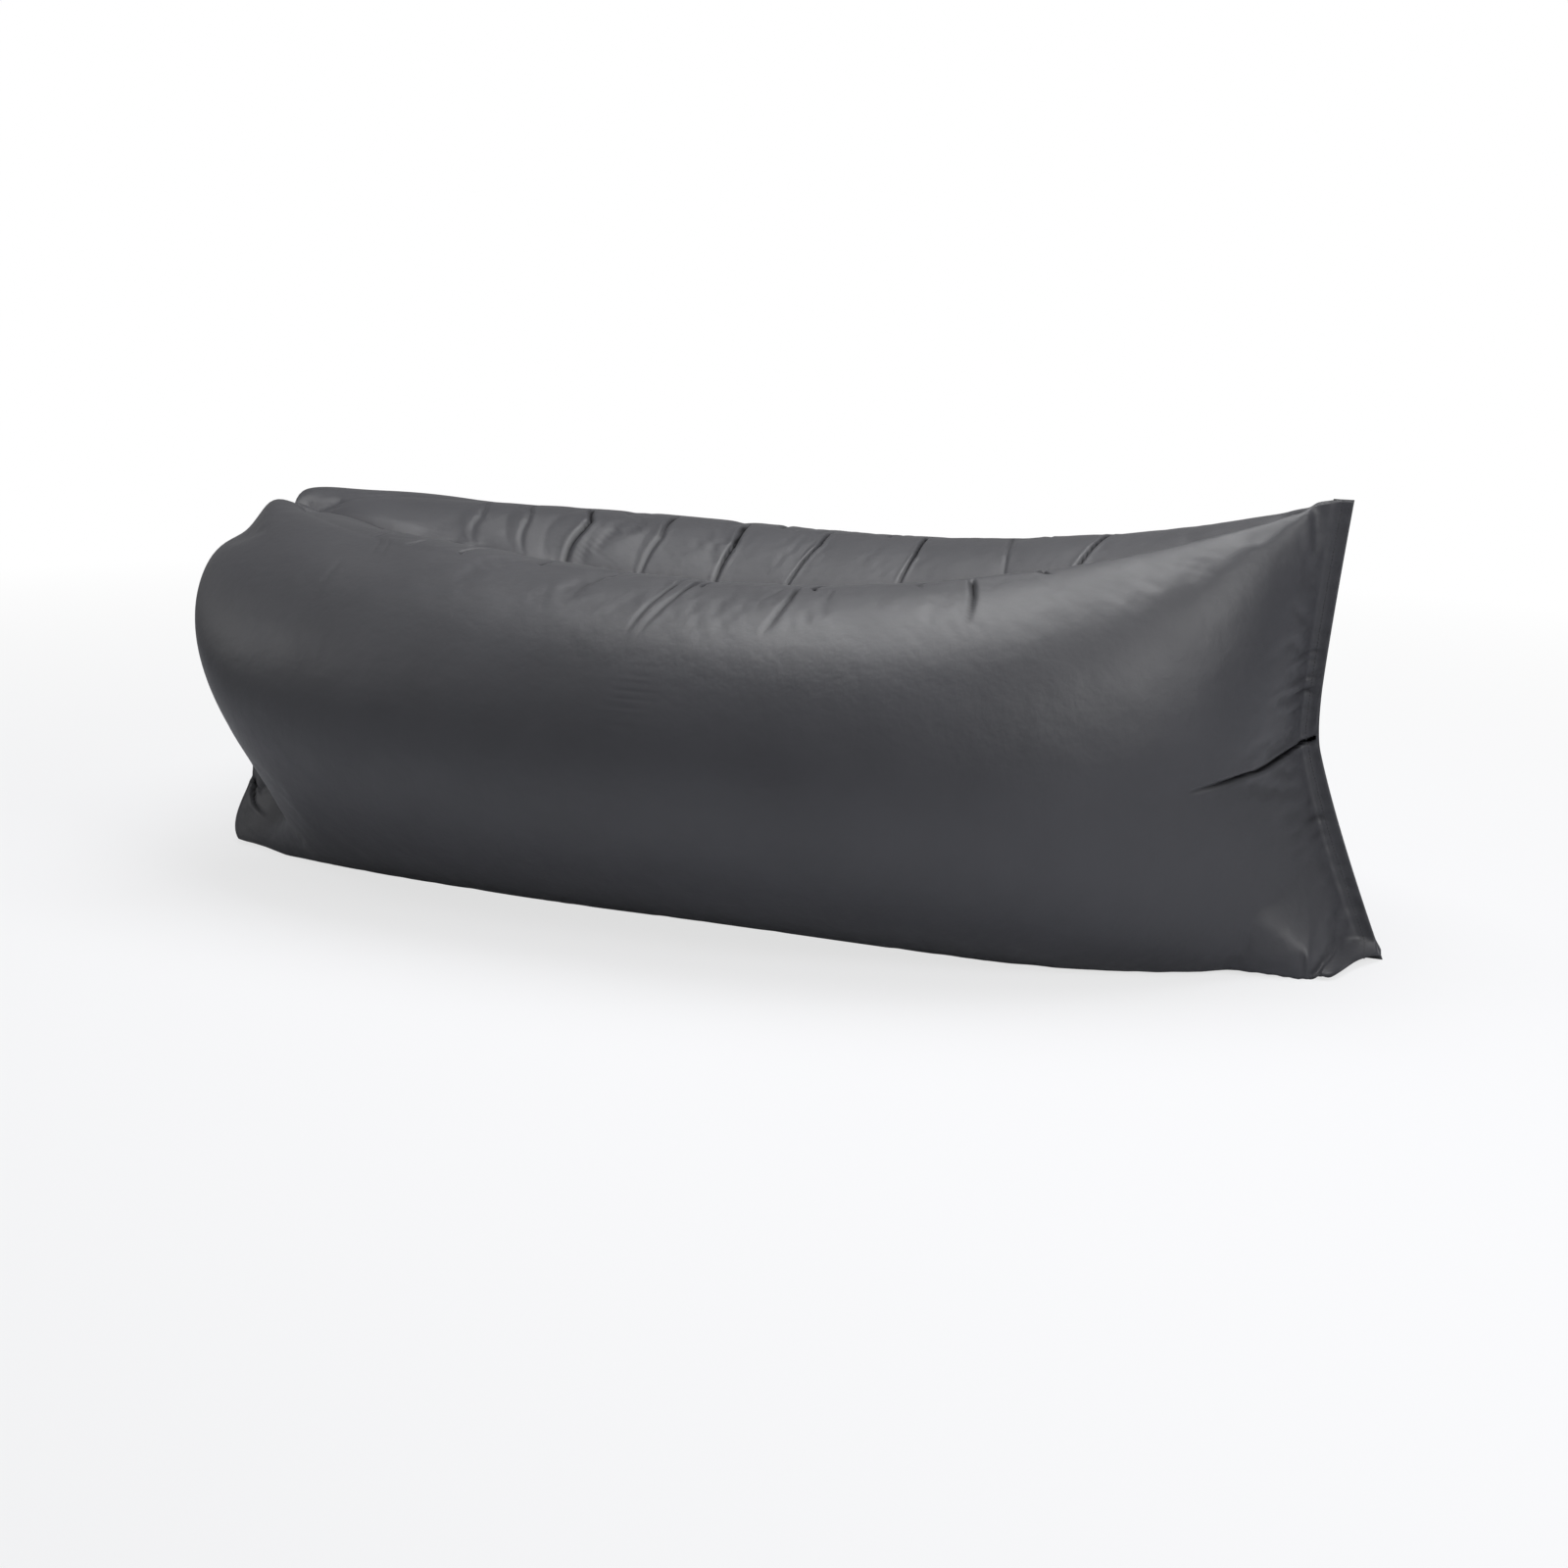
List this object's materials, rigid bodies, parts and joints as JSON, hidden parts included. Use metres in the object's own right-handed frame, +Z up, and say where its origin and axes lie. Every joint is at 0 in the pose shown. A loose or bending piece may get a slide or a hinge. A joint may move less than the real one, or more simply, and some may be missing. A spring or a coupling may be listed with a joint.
{
  "type": "inflatable air lounger",
  "caption": "Air-filled lounger of joined fabric tubes, with a pinched seam at one end and a rolled mouth clipped into a ring at the other.",
  "frame": {"origin": "centre of the bounding box on the floor it lies on", "axes": "+X along the tubes to the pinched end seam, +Y to the rear tube, +Z up"},
  "size_m": [1.8084, 0.9168, 0.63],
  "materials": {
    "slate_fabric": "dark slate woven polyester with a satin coating",
    "clear_film": "clear air-tight film",
    "seam_tape": "woven seam tape",
    "strip_plastic": "flat extruded strip",
    "black_webbing": "ribbed black webbing",
    "black_plastic": "fine-grained moulded plastic"
  },
  "bodies": {
    "lounger": {"front_tube_sleeve": "slate_fabric", "rear_tube_sleeve": "slate_fabric", "front_air_liner": "clear_film", "rear_air_liner": "clear_film", "join_tape": "seam_tape", "end_seam_hem": "slate_fabric", "rolled_mouth": "slate_fabric", "front_mouth_strip": "strip_plastic", "rear_mouth_strip": "strip_plastic", "upper_webbing_tab": "black_webbing", "lower_webbing_tab": "black_webbing", "buckle_socket": "black_plastic"},
    "plug": {"buckle_plug": "black_plastic"},
    "arm_front": {"plug_arm_front": "black_plastic"},
    "arm_rear": {"plug_arm_rear": "black_plastic"}
  },
  "joints": [
    {"name": "buckle_release", "type": "slide", "parent": "lounger", "child": "plug", "axis": [0, 0, 1], "range_m": [0, 0.032], "deforming": ["upper_webbing_tab", "plug_arm_front", "plug_arm_rear"]},
    {"name": "arm_front_squeeze", "type": "hinge", "parent": "plug", "child": "arm_front", "pos_m": [-0.89885, -0.0127, 0.3046], "axis": [1, 0, 0], "range_deg": [0, 14], "stiffness_Nm_per_rad": 0.4},
    {"name": "arm_rear_squeeze", "type": "hinge", "parent": "plug", "child": "arm_rear", "pos_m": [-0.89885, 0.0127, 0.3046], "axis": [-1, 0, 0], "range_deg": [0, 14], "stiffness_Nm_per_rad": 0.4}
  ]
}
